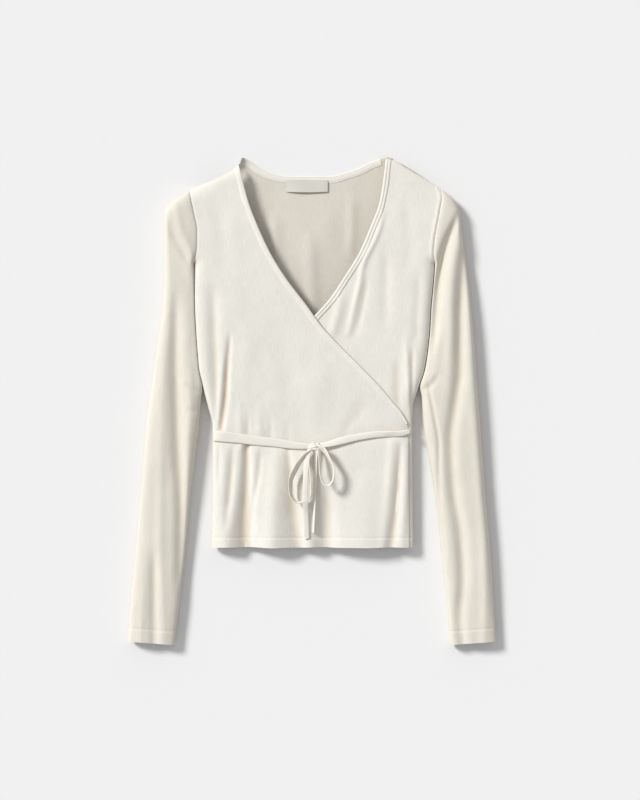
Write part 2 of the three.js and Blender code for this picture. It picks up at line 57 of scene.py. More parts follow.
LEFT_SIDE = [(-205, -140.5), (-120, -139.5), (-36, -139.5), (-7, -146), (20, -153), (43, -158),
             (71, -160.5), (99, -162.5), (127, -164), (192, -165), (213, -161), (238, -160.5),
             (263, -165), (295, -172)]
RIGHT_SIDE = [(-205, 142), (-120, 141), (-36, 140.5), (-7, 141.5), (15, 148), (43, 157.5),
              (71, 162), (99, 165), (127, 166.5), (192, 171.5), (206, 169.5), (225, 171),
              (245, 174.5), (266, 178.5), (284, 181.5), (299, 178.5)]
TOP_EDGE = [(-172, 295), (-103, 331), (-98, 341.5), (-69, 325.5), (-48, 318), (-28, 316),
            (24, 316), (48, 321), (67, 328), (88, 337.5), (104, 341.5), (118, 336),
            (178.5, 299)]
SHOULDER_FOLDS = [(TOP_EDGE[0], TOP_EDGE[1]), (TOP_EDGE[1], TOP_EDGE[2]),
                  (TOP_EDGE[10], TOP_EDGE[11]), (TOP_EDGE[11], TOP_EDGE[12])]
OVER_EDGE = [(-205, 136), (-120, 135), (-36, 134.5), (-18, 126), (-1, 112), (20, 94), (46, 69),
             (70, 45), (104, 13), (133, -8), (174, -39), (207, -59), (248, -78), (280, -90),
             (331, -103)]
UNDER_EDGE = [(-205, -133.5), (-36, -132.5), (-14, -122), (40, -70), (80, -32), (118, 3),
              (141, 24), (169, 43), (206, 66), (245, 83), (277, 95), (314, 101), (341.5, 104)]
BODY_HEIGHTS = [(-205, 19.5), (-120, 20.5), (-52, 20), (30, 22), (150, 22.5), (240, 21.5), (300, 19)]
TIE_LINE = [(-150, -48), (-139, -48.5), (-104, -51.5), (-53, -58), (-1, -63.5), (15, -63),
            (45, -54.5), (69, -49), (94, -46), (134, -42.5), (150, -42)]

# A sleeve's sections: end by the body, far end, height, and how closely it follows the armhole.
LEFT_SLEEVE = [(-165.3, 192, -172.3, 295, 25, 1), (-166.2, 186, -189.5, 288.5, 25, 0.5),
               (-166.4, 175, -202, 279.5, 24, 0.2), (-166.3, 160, -207, 261, 23, 0),
               (-165.8, 140, -206.5, 222, 22, 0), (-164.6, 112, -206.5, 178, 22, 0),
               (-162.8, 82, -209.5, 128, 22, 0), (-160.4, 50, -217, 76, 22, 0),
               (-154.6, 20, -223.5, 30, 22, 0), (-158, -30, -230.5, -22, 22, 0),
               (-164, -80, -235, -73, 21, 0), (-171, -139, -240, -133, 20, 0),
               (-179, -220, -247.5, -214, 20, 0), (-187, -290, -254, -285, 19, 0),
               (-193, -341.5, -257.5, -336.5, 18, 0)]
RIGHT_SLEEVE = [(171.8, 192, 178.8, 299, 25, 1), (172.5, 186, 190.5, 293, 25, 0.5),
                (172, 175, 200.5, 284, 24, 0.2), (170.7, 160, 206.5, 266, 23, 0),
                (168.9, 140, 210, 234, 22, 0), (167.1, 112, 216, 192, 22, 0),
                (164.9, 82, 222, 140, 22, 0), (160.9, 50, 227, 84, 22, 0),
                (153.5, 20, 230.5, 34, 22, 0), (156, -32, 235, -24, 22, 0),
                (163.5, -80, 238.5, -73, 21, 0), (173.5, -139, 243, -133, 20, 0),
                (182, -220, 250, -214, 20, 0), (190, -290, 254.5, -285, 19, 0),
                (193, -341.5, 257.5, -336.5, 18, 0)]

# ---------------------------------------------------------------- creases
# Each crease is a route of (x, y, half width, rise). A negative rise is a trough.
OVER_CREASES = [
    # down the left side from the bust to the tie
    [(-139, 165, 8, 0), (-138, 140, 8, -2.2), (-137, 90, 8, -3), (-135, 18, 7, -3), (-133, -31, 6, -2.5),
        (-132, -60, 6, 0)],
    [(-114, 98, 3, 0), (-116, 77, 3.5, -2.2), (-119, 42, 4, -3.8), (-121.5, 6, 4.2, -4.4), (-126, -31, 4,
        -4), (-128.5, -52, 4, -2)],
    [(-124, 60, 4, 0), (-127, 20, 4, 1.2), (-131, -25, 3.5, 1.4), (-133, -50, 3.5, 0.6)],
    # short gathers over the tie
    [(-101, 6, 4, 0), (-101, -18, 4.5, 0.8), (-100, -46, 5, 1.6), (-99, -66, 5, 1.2)],
    [(-74, -2, 6, 0), (-74, -24, 6, 0.8), (-73, -46, 6, 1.5), (-73, -70, 6, 1)],
    [(-90, -10, 3, 0), (-90, -34, 3.2, -0.9), (-90, -52, 3.2, -1.6), (-90, -66, 3, -1.5)],
    [(-58, -15, 4, 0), (-58, -38, 4, -0.8), (-59, -56, 4, -1.4)],
    [(-34, -26, 5, 0), (-34, -48, 5, -0.8), (-33, -62, 5, -1.2)],
    # below the tie, at the left
    [(-130, -62, 3, -0.5), (-130, -80, 3, -1.5), (-130.5, -100, 3.4, -1.2), (-131, -122, 3.5, 0)],
    [(-111, -66, 4, -0.9), (-113, -92, 5, -2.5), (-116, -130, 5, -2.8), (-119, -162, 5, -2), (-121, -186, 5,
        0)],
    [(-117, -140, 8, 0), (-120, -180, 10, 1.8), (-121, -212, 11, 3.4)],
    [(-91.5, -56, 4.5, -3), (-91.5, -85, 6, -5.2), (-92, -110, 7.5, -6.4), (-93, -139, 9, -8), (-94, -175,
        12, -9.4), (-92, -212, 14, -10)],
    [(-72, -66, 3.5, -0.8), (-74, -90, 4, -1.6), (-77, -115, 4, -1.9), (-83, -151, 4.5, -1.6), (-86, -190,
        4.5, 0)],
    [(-49, -70, 10, 1), (-51, -100, 12, 3.4), (-54, -151, 14, 4.6), (-56, -212, 15, 4.8)],
    [(-34, -68, 4.5, -1.6), (-31, -102, 6.5, -3), (-26, -151, 10, -5.2), (-20, -212, 12, -6)],
    [(-4, -108, 8, 0), (-3, -150, 9, 1.6), (-3, -212, 9, 2)],
    [(21, -104, 8, 0), (21, -150, 11, -4), (19, -212, 14, -6.2)],
    [(70, -96, 24, 0), (72, -150, 30, 2.4), (72, -212, 32, 4.4)],
    # below the tie, at the right
    [(112, -58, 6, 1), (109, -98, 6, 1.4), (104, -150, 6, 1), (98, -205, 6, 0.6)],
    [(123, -64, 4, -1.2), (121, -100, 4.6, -2.6), (117, -151, 5.5, -3.2), (109, -210, 7, -3)],
    [(133, -60, 4, 0.6), (131, -126, 4.5, 1.2), (127, -178, 5, 1), (125, -210, 5, 0.6)],
    # soft pulls across the bust towards the tie
    [(-120, 180, 12, 0), (-100, 130, 14, 0.8), (-92, 70, 12, 0.9), (-96, 10, 9, 0)],
    [(-60, 150, 16, 0), (-40, 90, 16, -0.8), (-32, 30, 14, -0.8), (-34, -20, 10, 0)],
    [(20, 70, 12, 0), (10, 20, 14, 0.9), (2, -20, 12, 0.9), (4, -50, 8, 0)],
    [(80, 10, 10, 0), (66, -14, 10, -1), (52, -34, 8, -1), (44, -50, 6, 0)],
    [(-140, 290, 9, 0), (-128, 250, 10, -0.9), (-124, 210, 10, -0.8), (-128, 170, 9, 0)],
]
UNDER_CREASES = [
    [(42, 158, 6, 0), (39, 136, 7, 2), (31, 104, 7, 2.2), (24, 80, 6, 0)],
    [(100, 268, 4, 0), (97, 250, 4, 1.3), (88, 225, 4, 1.9), (71, 189, 4.2, 2), (67, 165, 4.2, 1.9), (60,
        136, 4.4, 1.7), (51, 95, 4.5, 1)],
    [(78, 178, 4, 0), (74, 150, 4.5, -1.2), (67, 118, 5, -1.4), (58, 80, 5, 0)],
    [(104, 226, 7, 0), (103, 170, 8, -1.5), (102, 120, 8, -1), (102, 80, 8, 0)],
    [(119, 66, 6, 0), (119, 40, 6, -1.5), (119, 0, 6, -1.7), (121, -40, 6, -1)],
    [(131, 96, 5, 0), (132, 70, 4.5, 1.4), (135, 30, 4, 1.9), (136.5, -1, 3.5, 1.6), (138, -34, 3, 0.8)],
    [(140, 78, 3, 0), (139.5, 55, 3, -2), (139.5, 20, 3, -2.2), (138, -6, 2.6, -1)],
    [(128, 300, 9, 0), (134, 260, 10, -0.9), (136, 215, 10, -0.8), (132, 170, 8, 0)],
    [(150, 190, 7, 0), (149, 150, 7, -1.4), (146, 100, 6, -1.4), (146, 72, 6, 0)],
]
BACK_CREASES = [
    [(-54, 268, 8, 0), (-52, 240, 9, 2), (-50, 200, 9, 2.2), (-48, 160, 9, 1)],
    [(-4, 240, 9, 0), (-3, 205, 10, 2.3), (-1, 165, 10, 2.5), (2, 118, 8, 1.5)],
    [(56, 296, 6, 0), (56, 262, 7, 1.5), (55, 225, 7, 1.5), (52, 195, 6, 0)],
    [(-80, 300, 6, 0), (-76, 276, 6, 1), (-70, 240, 6, 0)],
    [(22, 280, 12, 0), (24, 250, 12, 0.9), (26, 210, 12, 0)],
    # the back below, out of sight from above
    [(-90, -206, 14, 3), (-88, -150, 12, 2.4), (-84, -90, 8, 0)],
    [(30, -206, 16, 3), (26, -150, 12, 2), (22, -80, 10, 0)],
    [(95, -206, 12, 2.4), (92, -160, 10, 1.6), (90, -110, 8, 0)],
]
LEFT_SLEEVE_CREASES = [
    [(-192, 284, 5, 0), (-188, 268, 6, 1.8), (-184, 245, 6.5, 2.8), (-170, 214, 6, 3), (-164, 196, 5, 1.6)],
    [(-200, 250, 6, 0), (-190, 225, 6, -2.2), (-178, 205, 5, -2.4), (-170, 190, 5, -0.6)],
    [(-190, 156, 7, 0), (-190, 120, 8, -3.4), (-190, 66, 8.5, -5), (-189, -7, 8.5, -5.6), (-187, -78, 8.5,
        -5.6), (-184, -126, 8, -5.2), (-183, -174, 8, -5), (-184, -231, 8, -4.2), (-186, -280, 8, 0)],
    [(-170, 60, 5, 0), (-170, 0, 6, 1.4), (-173, -80, 6, 1.6), (-176, -150, 6, 1.2), (-182, -220, 6, 0)],
    [(-206, 90, 6, 0), (-208, 20, 7, 1.2), (-211, -90, 7, 1.4), (-212, -200, 7, 1.6), (-209, -290, 7, 1.4),
        (-208, -345, 6, 0.8)],
    [(-221, -205, 6, 0), (-221, -240, 6.5, -2.8), (-221, -300, 6.5, -3), (-221, -345, 6, -2)],
    [(-236, -250, 5, 0), (-238, -300, 5, 0.9), (-240, -345, 5, 0.8)],
    [(-178, 28, 4, 0), (-168, 18, 4, -1.6), (-158, 14, 4, -1.6)],
    [(-176, -8, 4, 0), (-167, -14, 4, -1.2), (-158, -12, 4, -1)],
]
RIGHT_SLEEVE_CREASES = [
    [(206, 268, 4.5, 0), (200, 250, 5.5, -3.4), (192, 230, 6.5, -6.2), (184, 206, 7, -8), (180, 185, 7,
        -8.2), (175.5, 146, 7, -7.6), (172, 105, 6.5, -6), (168, 72, 5.5, -2)],
    [(208, 262, 7, 0), (206, 235, 7.5, 0.6), (198, 196, 8, 2), (194, 146, 8, 2.6), (193, 85, 8, 2), (188,
        -6, 8, 0.6)],
    [(214, 222, 7, 0), (211, 190, 7.5, -4.4), (208, 113, 8, -5.8), (207, 42, 8, -5.4), (200, -7, 8, -4.4),
        (194, -55, 8, -4.4), (198, -126, 8, -4.6), (208, -190, 8, -4.6), (211, -250, 8, -4.2), (207, -301,
        8, -3.8), (211, -345, 7, -3)],
    [(163, 26, 3, -0.6), (165, 10, 3, -1.8), (171, -21, 3.2, -2), (177, -60, 3.2, -1.8), (177.5, -126, 3.4,
        -1.8), (184, -199, 3.5, -1.2), (186, -240, 3.5, 0)],
    [(222, 190, 7, 0), (226, 113, 8, 1.6), (227, 17, 8, 1.8), (231, -55, 7, 2), (236, -126, 7, 2.2), (242,
        -199, 7, 2.2), (243, -280, 7, 1.8), (240, -345, 7, 1.2)],
    [(178, 40, 4, 0), (168, 24, 4, -1.8), (156, 16, 4, -1.8)],
]

# ---------------------------------------------------------------- routes of the ties
# (x, y, height over the cloth, width, turn in radians)
TIE_LEFT = [(-137.5, -48.5, 2.6, 15, 0.05), (-124, -50, 2.8, 14.5, 0.1), (-104, -52, 2.6, 13.5, 0),
            (-81, -55, 2.5, 13, 0), (-53, -58, 2.6, 12, 0.05), (-29, -61.5, 2.8, 10.5, 0.1),
            (-14, -63, 3.6, 9, 0.3), (-2, -63.5, 5, 8, 0.5)]
TIE_RIGHT = [(10, -62.5, 5.4, 8, -0.5), (22, -60.5, 4.4, 8.5, -0.35), (45, -54.5, 3.2, 10.5, -0.1),
             (69, -49.5, 2.6, 9.5, 0), (94, -46.5, 2.6, 9, 0.15), (112, -46, 2.6, 9, 0.4),
             (124, -45.5, 2.8, 8, 0.2), (136, -42.5, 2.6, 7, -0.1)]
LOOP_LEFT = [(-1, -68, 9, 9, 1.7), (-10, -76, 11, 11, 2.0), (-22, -93, 12, 12, 2.15),
             (-30, -115, 11, 11, 2.1), (-29.5, -129, 10, 10, 2.0), (-20, -141.5, 10, 8, 1.8),
             (-8, -139, 10, 7, 1.7), (-1.5, -126, 10, 7, 1.7), (-3, -106, 11, 8, 1.75),
             (-4.5, -86, 11, 8, 1.7), (-2, -70, 9, 8, 1.6)]
LOOP_RIGHT = [(9, -65, 9, 11, 0.7), (16, -68, 11, 11, 0.9), (24, -80, 14, 9, 1.2),
              (30.5, -97, 17, 8, 1.35), (29, -110, 18, 7.5, 1.4), (21.5, -117.5, 18, 7, 1.4),
              (14, -111, 17, 7, 1.4), (11, -96, 15, 8, 1.35), (11, -80, 12, 9, 1.2), (10, -67, 8, 9, 0.9)]
TAIL_LONG = [(-3, -67, 10, 6, 0.5), (-7, -79, 12.5, 7, 0.3), (-8.6, -105, 13.5, 7.6, 0.1),
             (-9, -138, 12.5, 7.8, 0), (-8.6, -158, 7, 7.8, 0), (-7.6, -192, 4.2, 8, 0)]
TAIL_SHORT = [(6, -68, 7, 6, 0.5), (4.8, -84, 5, 7, 0.8), (4, -110, 4, 7, 0.9),
              (3, -150, 4, 6.4, 1.0), (2, -184, 4, 5, 1.2)]
KNOT = (4.5, -63.5, 6.0)

# ---------------------------------------------------------------- small mathematics


def smooth(low, high, value):
    share = np.clip((value - low) / (high - low), 0, 1)
    return share * share * (3 - 2 * share)


def quarter(share, power=2.5):
    """A soft fold's rise from its edge, 0, to where the cloth lies level, 1."""
    return (1 - (1 - np.clip(share, 0, 1)) ** power) ** (1 / power)


class Curve:
    """A smooth curve through a table's rows, which never overshoots them."""

    def __init__(self, rows):
        self.at, self.value = np.array(rows, float).T
        step = np.diff(self.value) / np.diff(self.at)
        before, after = step[:-1], step[1:]
        same = before * after > 0
        inner = np.where(same, 2 * before * after / np.where(same, before + after, 1), 0)
        self.slope = np.concatenate([step[:1], inner, step[-1:]])

    def __call__(self, where):
        where = np.clip(where, self.at[0], self.at[-1])
        k = np.clip(np.searchsorted(self.at, where) - 1, 0, len(self.at) - 2)
        span = self.at[k + 1] - self.at[k]
        t = (where - self.at[k]) / span
        return ((2 * t**3 - 3 * t**2 + 1) * self.value[k]
                + (t**3 - 2 * t**2 + t) * self.slope[k] * span
                + (3 * t**2 - 2 * t**3) * self.value[k + 1]
                + (t**3 - t**2) * self.slope[k + 1] * span)


left_x, right_x = Curve(LEFT_SIDE), Curve(RIGHT_SIDE)
top_y = Curve(TOP_EDGE)
over_x, under_x = Curve(OVER_EDGE), Curve(UNDER_EDGE)
body_height = Curve(BODY_HEIGHTS)
layer_step = Curve(LAYER_STEPS)
tie_y = Curve(TIE_LINE)


def through(points, count):
    """Evenly spaced rows along a smooth curve through given points, whatever they hold."""
    points = np.array(points, float)
    length = np.concatenate([[0], np.cumsum(np.linalg.norm(np.diff(points[:, :2], axis=0), axis=1))])
    at = np.linspace(0, length[-1], count)
    return np.stack([Curve(np.stack([length, points[:, k]], 1))(at) for k in range(points.shape[1])], 1)


def crease_rise(creases, x, y):
    """Height that all the creases add at each place."""
    total = np.zeros_like(x)
    for crease in creases:
        route = through(crease, 5 * len(crease))
        reach = 3.2 * route[:, 2].max()
        low, high = route[:, :2].min(0) - reach, route[:, :2].max(0) + reach
        near = (x > low[0]) & (x < high[0]) & (y > low[1]) & (y < high[1])
        if not near.any():
            continue
        px, py = x[near], y[near]
        best = np.full(px.shape, 1e9)
        wide, rise = np.ones_like(px), np.zeros_like(px)
        for a, b in zip(route[:-1], route[1:]):
            run = b[:2] - a[:2]
            share = ((px - a[0]) * run[0] + (py - a[1]) * run[1]) / (run @ run)
            share = np.clip(share, 0, 1)
            away = np.hypot(px - a[0] - share * run[0], py - a[1] - share * run[1])
            closer = away < best
            best = np.where(closer, away, best)
            wide = np.where(closer, a[2] + (b[2] - a[2]) * share, wide)
            rise = np.where(closer, a[3] + (b[3] - a[3]) * share, rise)
        total[near] += rise * np.exp(-((best / wide) ** 2))
    return total


def wander(x, y, size, seed):
    """Slow unevenness between -1 and 1, as wide as the size given."""
    return np.array([noise.noise((a / size, b / size, seed)) for a,
        b in zip(x.ravel(), y.ravel())]).reshape(x.shape)


def fold_distance(x, y):
    """How far a place on the body is in from the side and shoulder folds."""
    above = np.maximum(y - UNDERARM_Y, 0)
    low = np.minimum(y, UNDERARM_Y)
    nearest = np.minimum(np.hypot(x - left_x(low), above), np.hypot(right_x(low) - x, above))
    for (ax, ay), (bx, by) in SHOULDER_FOLDS:
        run = (bx - ax, by - ay)
        share = np.clip(((x - ax) * run[0] + (y - ay) * run[1]) / (run[0] ** 2 + run[1] ** 2), 0, 1)
        nearest = np.minimum(nearest, np.hypot(x - ax - share * run[0], y - ay - share * run[1]))
    return nearest


def side_height(x, y):
    """Height of the side fold, which rises where the left sleeve lies against it."""
    return SEAM_HEIGHT + 6 * (x < 0) * smooth(8, 50, y) * (1 - smooth(165, 200, y))


def front_height(x, y, rise=0.0):
    side = side_height(x, y)
    return side + (body_height(y) - side + rise) * quarter(fold_distance(x, y) / ROUND)


def back_height(x, y):
    return (side_height(x, y) - SEAM_GAP) * (1 - quarter(fold_distance(x, y) / ROUND))


def armhole_dip(x, y, body_side):
    """What the armhole seams pull into the cloth: a fine groove at the left, and at the right
    a low ridge on the body beside a groove."""
    above = smooth(UNDERARM_Y - 4, UNDERARM_Y + 14, y)
    left = 0.5 * np.exp(-((np.abs(x - left_x(y)) / 1.8) ** 2))
    beside = np.abs(x - right_x(y))
    right = 0.5 * np.exp(-((beside / 1.2) ** 2))
    if body_side:
        right = right - 0.7 * np.exp(-(((beside - 3) / 2.4) ** 2))
    return (left + right) * above


def tie_press(x, y):
    """Where the tie presses the cloth down."""
    return np.exp(-(((y - tie_y(x)) / 8.5) ** 2))


def under_depth(x, y):
    edge = over_x(y)
    sag = LAYER_SAG * smooth(6, 45, edge - x)
    return (layer_step(y) + sag) * (1 - smooth(edge, right_x(y), x))


def over_height(x, y):
    press = tie_press(x, y)
    rise = crease_rise(OVER_CREASES, x, y) * (1 - 0.8 * press) - 1.3 * press
    rise = rise + 0.5 * wander(x, y, 46, 3.1) + 0.22 * wander(x, y, 17, 8.4)
    return front_height(x, y, rise) - armhole_dip(x, y, True)


def under_height(x, y):
    shown = smooth(-4, 10, x - over_x(y))
    rise = shown * crease_rise(UNDER_CREASES, x, y)
    rise = rise + 0.4 * wander(x, y, 42, 12.7) + 0.2 * wander(x, y, 16, 5.3)
    return front_height(x, y, rise) - under_depth(x, y) - armhole_dip(x, y, True)


def back_face(x, y):
    """Height of the back's lower face: flat on the surface but for its few soft rises."""
    rise = np.maximum(crease_rise(BACK_CREASES, x, y), 0)
    puff = 5 * np.exp(-(((x - 2) / 62) ** 2) - ((y - 215) / 68) ** 2)
    return back_height(x, y) + rise + puff * smooth(316, 280, y)


# ---------------------------------------------------------------- shader maths


class Value:
    """A socket of a material, so that its maths can be written as Python."""

    def __init__(self, finish, socket):
        self.finish, self.socket = finish, socket

    def _maths(self, operation, *others):
        return self.finish.node("ShaderNodeMath", {"operation": operation}, *others)

    def __add__(self, other): return self._maths("ADD", self, other)
    def __radd__(self, other): return self._maths("ADD", other, self)
    def __sub__(self, other): return self._maths("SUBTRACT", self, other)
    def __rsub__(self, other): return self._maths("SUBTRACT", other, self)
    def __mul__(self, other): return self._maths("MULTIPLY", self, other)
    def __rmul__(self, other): return self._maths("MULTIPLY", other, self)
    def __truediv__(self, other): return self._maths("DIVIDE", self, other)
    def sine(self): return self._maths("SINE", self)
    def power(self, other): return self._maths("POWER", self, other)


class Finish:
    """A material and its nodes."""

    def __init__(self, name):
        self.material = bpy.data.materials.new(name)
        self.material.use_nodes = True
        self.tree = self.material.node_tree
        self.shader = self.tree.nodes["Principled BSDF"]

    def node(self, kind, settings, *inputs, out=0, **named):
        made = self.tree.nodes.new(kind)
        for key, value in settings.items():
            if key == "stops":
                ramp = made.color_ramp
                for element, (place, colour) in zip(ramp.elements, value):
                    element.position, element.color = place, colour
            else:
                setattr(made, key, value)
        for socket, value in [*enumerate(inputs), *named.items()]:
            key = socket if isinstance(socket, int) else socket.replace("_", " ")
            self.feed(made.inputs[key], value)
        return Value(self, made.outputs[out])

    def feed(self, socket, value):
        if isinstance(value, Value):
            self.tree.links.new(value.socket, socket)
        elif value is not None:
            socket.default_value = value

    def blend(self, share, first, second):
        made = self.tree.nodes.new("ShaderNodeMix")
        made.data_type = "RGBA"
        self.feed(made.inputs["Factor"], share)
        self.feed(made.inputs["A"], first)
        self.feed(made.inputs["B"], second)
        return Value(self, made.outputs["Result"])

    def set(self, **named):
        for key, value in named.items():
            self.feed(self.shader.inputs[key.replace("_", " ")], value)


PAINTED_TROUGH_SHADE = (0.64, 0.53, 0.405, 1)   # painted shade: a darker, warmer colour mixed in at the bottom of a trough
HOLLOW_PASSES = 36        # how widely the cloth around a place is averaged
HOLLOW_DEEP = 2.1         # millimetres below it that count as a full trough


def jersey(name, light, dark, rib=1.0):
    """Fine rib jersey: ribs run along V, with lighter dashes where the loops catch the light, and painted
    shade mixed into the base colour at the bottom of troughs.
    """
    finish = Finish(name)
    place = finish.node("ShaderNodeUVMap", {"uv_map": "cloth"})
    parts = finish.node("ShaderNodeSeparateXYZ", {}, place)
    across = parts
    along = Value(finish, parts.socket.node.outputs["Y"])
    dashes_at = finish.node("ShaderNodeCombineXYZ", {}, across * 620, along * 75)
    dashes = finish.node("ShaderNodeTexNoise", {}, dashes_at, Scale=1.0, Detail=1.5, Roughness=0.6)
    broad_at = finish.node("ShaderNodeCombineXYZ", {}, across * 38, along * 12)
    broad = finish.node("ShaderNodeTexNoise", {}, broad_at, Scale=1.0, Detail=2.0)
    ribs = (across * (2 * math.pi / 0.0011)).sine() * 0.5 + 0.5
    loops = (along * (2 * math.pi / 0.0009)).sine() * 0.5 + 0.5
    mottle = dashes * 0.62 + broad * 0.3 + ribs * 0.08
    share = finish.node("ShaderNodeMapRange", {"clamp": True}, mottle, 0.36, 0.62, 0.0, 1.0)
    cloth = finish.blend(share, dark, light)
    # Painted shade: the bottom of each trough is mixed towards a darker, warmer colour.
    painted_shade_mask = finish.node("ShaderNodeAttribute", {"attribute_name": "painted_shade_mask"}, out="Fac")
    depth = finish.node("ShaderNodeMapRange", {"clamp": True}, painted_shade_mask, 0.08, 1.0, 0.0, 0.9)
    finish.set(Base_Color=finish.blend(depth, cloth, PAINTED_TROUGH_SHADE))
    finish.set(Roughness=0.88 - share * 0.1)
    relief = ribs * 0.5 + loops * 0.15 + dashes * 0.6
    bump = finish.node("ShaderNodeBump", {}, Strength=0.35 * rib, Distance=0.00035, Height=relief)
    finish.set(Normal=bump)
    finish.shader.inputs["Specular IOR Level"].default_value = 0.2
    finish.shader.inputs["Sheen Weight"].default_value = 0.12
    finish.shader.inputs["Sheen Roughness"].default_value = 0.5
    return finish.material


def plain_weave(name, light, dark, pitch):
    """A close woven finish, for the label and the sewing thread."""
    finish = Finish(name)
    place = finish.node("ShaderNodeTexCoord", {}, out="Object")
    parts = finish.node("ShaderNodeSeparateXYZ", {}, place)
    second = Value(finish, parts.socket.node.outputs["Y"])
    threads = (parts * (2 * math.pi / pitch)).sine() * (second * (2 * math.pi / pitch)).sine()
    grain = finish.node("ShaderNodeTexNoise", {}, place, Scale=900.0, Detail=2.0)
    share = threads * 0.25 + grain * 0.75
    finish.set(Base_Color=finish.blend(share, dark, light))
    finish.set(Roughness=0.62 - grain * 0.08)
    finish.set(Normal=finish.node("ShaderNodeBump", {}, Strength=0.3, Distance=0.0002, Height=share))
    return finish.material


# ---------------------------------------------------------------- making sheets


def hollowness(z, columns, rows):
    """How far each place lies below the cloth around it, from 0 to 1 where it is a deep trough: the share
    of painted shade that the jersey mixes in there.
    """
    level = z.reshape(rows + 1, columns + 1)
    around = level.copy()
    for _ in range(HOLLOW_PASSES):
        padded = np.pad(around, 1, mode="edge")
        around = (padded[:-2, 1:-1] + padded[2:, 1:-1] + padded[1:-1, :-2] + padded[1:-1,
            2:]) / 8 + around / 2
    return np.clip((around - level) / HOLLOW_DEEP, 0, 1).ravel()


def deselect():
    if bpy.context.object and bpy.context.object.mode != "OBJECT":
        bpy.ops.object.mode_set(mode="OBJECT")
    bpy.ops.object.select_all(action="DESELECT")


def apply_modifier(piece, kind, **settings):
    modifier = piece.modifiers.new(kind.title(), kind)
    for key, value in settings.items():
        setattr(modifier, key, value)
    bpy.ops.object.modifier_apply(modifier=modifier.name)


def edit(piece, *steps):
    bpy.context.view_layer.objects.active = piece
    bpy.ops.object.mode_set(mode="EDIT")
    bpy.ops.mesh.select_all(action="SELECT")
    for step, settings in steps:
        step(**settings)
    bpy.ops.object.mode_set(mode="OBJECT")


def sheet(name, columns, rows, place, material, thick=CLOTH, face="up", closed=False):
    """A grid primitive whose points are all moved to their places on the cloth.

    `place` takes each point's shares of the way across and along, and gives x, y, z and the
    cloth's own two measures there, all in millimetres."""
    deselect()
    bpy.ops.mesh.primitive_grid_add(x_subdivisions=columns, y_subdivisions=rows, size=1)
    piece = bpy.context.object
    piece.name = piece.data.name = name
    mesh = piece.data
    points = np.empty(len(mesh.vertices) * 3)
    mesh.vertices.foreach_get("co", points)
    points = points.reshape(-1, 3)
    x, y, z, across, along = place(points[:, 0] + 0.5, points[:, 1] + 0.5)
    z = np.maximum(z, 0)
    mesh.vertices.foreach_set("co", (np.stack([x, y, z], 1) * MM).ravel())
    # Painted shade: how deep each place lies in a trough, kept so that the jersey can darken and warm its
    # colour there.
    painted_shade_mask = mesh.attributes.new("painted_shade_mask", "FLOAT", "POINT")
    painted_shade_mask.data.foreach_set("value", hollowness(z, columns, rows))
    corners = np.empty(len(mesh.loops), int)
    mesh.loops.foreach_get("vertex_index", corners)
    layer = mesh.uv_layers[0]
    layer.name = "cloth"
    layer.data.foreach_set("uv", (np.stack([across, along], 1)[corners] * MM).ravel())
    mesh.update()
    steps = []
    if closed:
        steps.append((bpy.ops.mesh.remove_doubles, {"threshold": 0.00002}))
        steps.append((bpy.ops.mesh.normals_make_consistent, {"inside": False}))
    edit(piece, *steps)
    if closed:
        # An open-ended tube has no inside for Blender to tell, so its own middle height does.
        middle = sum(p.center.z for p in mesh.polygons) / len(mesh.polygons)
        right_way = sum(p.normal.z * p.area * (p.center.z - middle) for p in mesh.polygons) > 0
    else:
        right_way = (sum(p.normal.z * p.area for p in mesh.polygons) > 0) == (face == "up")
    if not right_way:
        edit(piece, (bpy.ops.mesh.flip_normals, {}))
    if thick:
        apply_modifier(piece, "SOLIDIFY", thickness=thick * MM, offset=-1, use_rim=True)
        # A tight fold can turn its thickness downwards: no cloth goes through what it rests on.
        for vertex in piece.data.vertices:
            vertex.co.z = max(vertex.co.z, 0)
    finish_piece(piece, material)
    return piece


def finish_piece(piece, material, angle=50):
    deselect()
    piece.select_set(True)
    bpy.context.view_layer.objects.active = piece
    bpy.ops.object.shade_smooth_by_angle(angle=math.radians(angle))
    piece.data.materials.clear()
    piece.data.materials.append(material)


def belongs(piece, slot, *nodes):
    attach(piece, "root")
    if nodes:
        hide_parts(*nodes)


def arc_length(*coordinates):
    steps = np.sqrt(sum(np.diff(c) ** 2 for c in coordinates))
    return np.concatenate([[0], np.cumsum(steps)])


# Columns stand closer together where the cloth curves down at a fold.
def column_places(share, start, end, fold_at_start, fold_at_end):
    inset = 0.14
    bent = share.copy()
    if fold_at_start:
        low = share < inset
        bent[low] = inset * (share[low] / inset) ** 1.7
    if fold_at_end:
        high = share > 1 - inset
        bent[high] = 1 - inset * ((1 - share[high]) / inset) ** 1.7
    return start + (end - start) * bent


HEM_DEEP = 13.5           # from the edge up to the hem's stitching


def hem_fold(inward):
    """A hem's double cloth, with the groove that its stitching pulls."""
    return 0.35 * smooth(HEM_DEEP + 1, HEM_DEEP - 1,
        inward) - 0.55 * np.exp(-(((inward - HEM_DEEP) / 1.2) ** 2))


def panel(from_x, to_x, height, folds):
    """Places of a body panel: level rows up to the underarm, then rows that fan to its top edge."""
    def place(u, v):
        lower = 0.68
        low = np.minimum(v / lower, 1)
        low = np.where(low < 0.1, low * 0.5, 0.05 + (low - 0.1) * 0.95 / 0.9)
        y_low = HEM_Y + (UNDERARM_Y - HEM_Y) * low
        up = np.clip((v - lower) / (1 - lower), 0, 1)
        up = 1 - (1 - up) ** 1.35
        top_x = column_places(u, from_x(NECK_RIGHT[1]), to_x(NECK_RIGHT[1]), *folds)
        y = y_low + (top_y(top_x) - UNDERARM_Y) * up
        x = column_places(u, from_x(y), to_x(y), *folds)
        hem = np.exp(-((y - HEM_Y) / 40) ** 2)
        y = y + hem * (0.35 * np.sin(x / 17 + 1.0) + 0.2 * np.sin(x / 7.3))
        z = height(x, y) + hem_fold(y - HEM_Y)
        return x, y, z, x, y
    return place


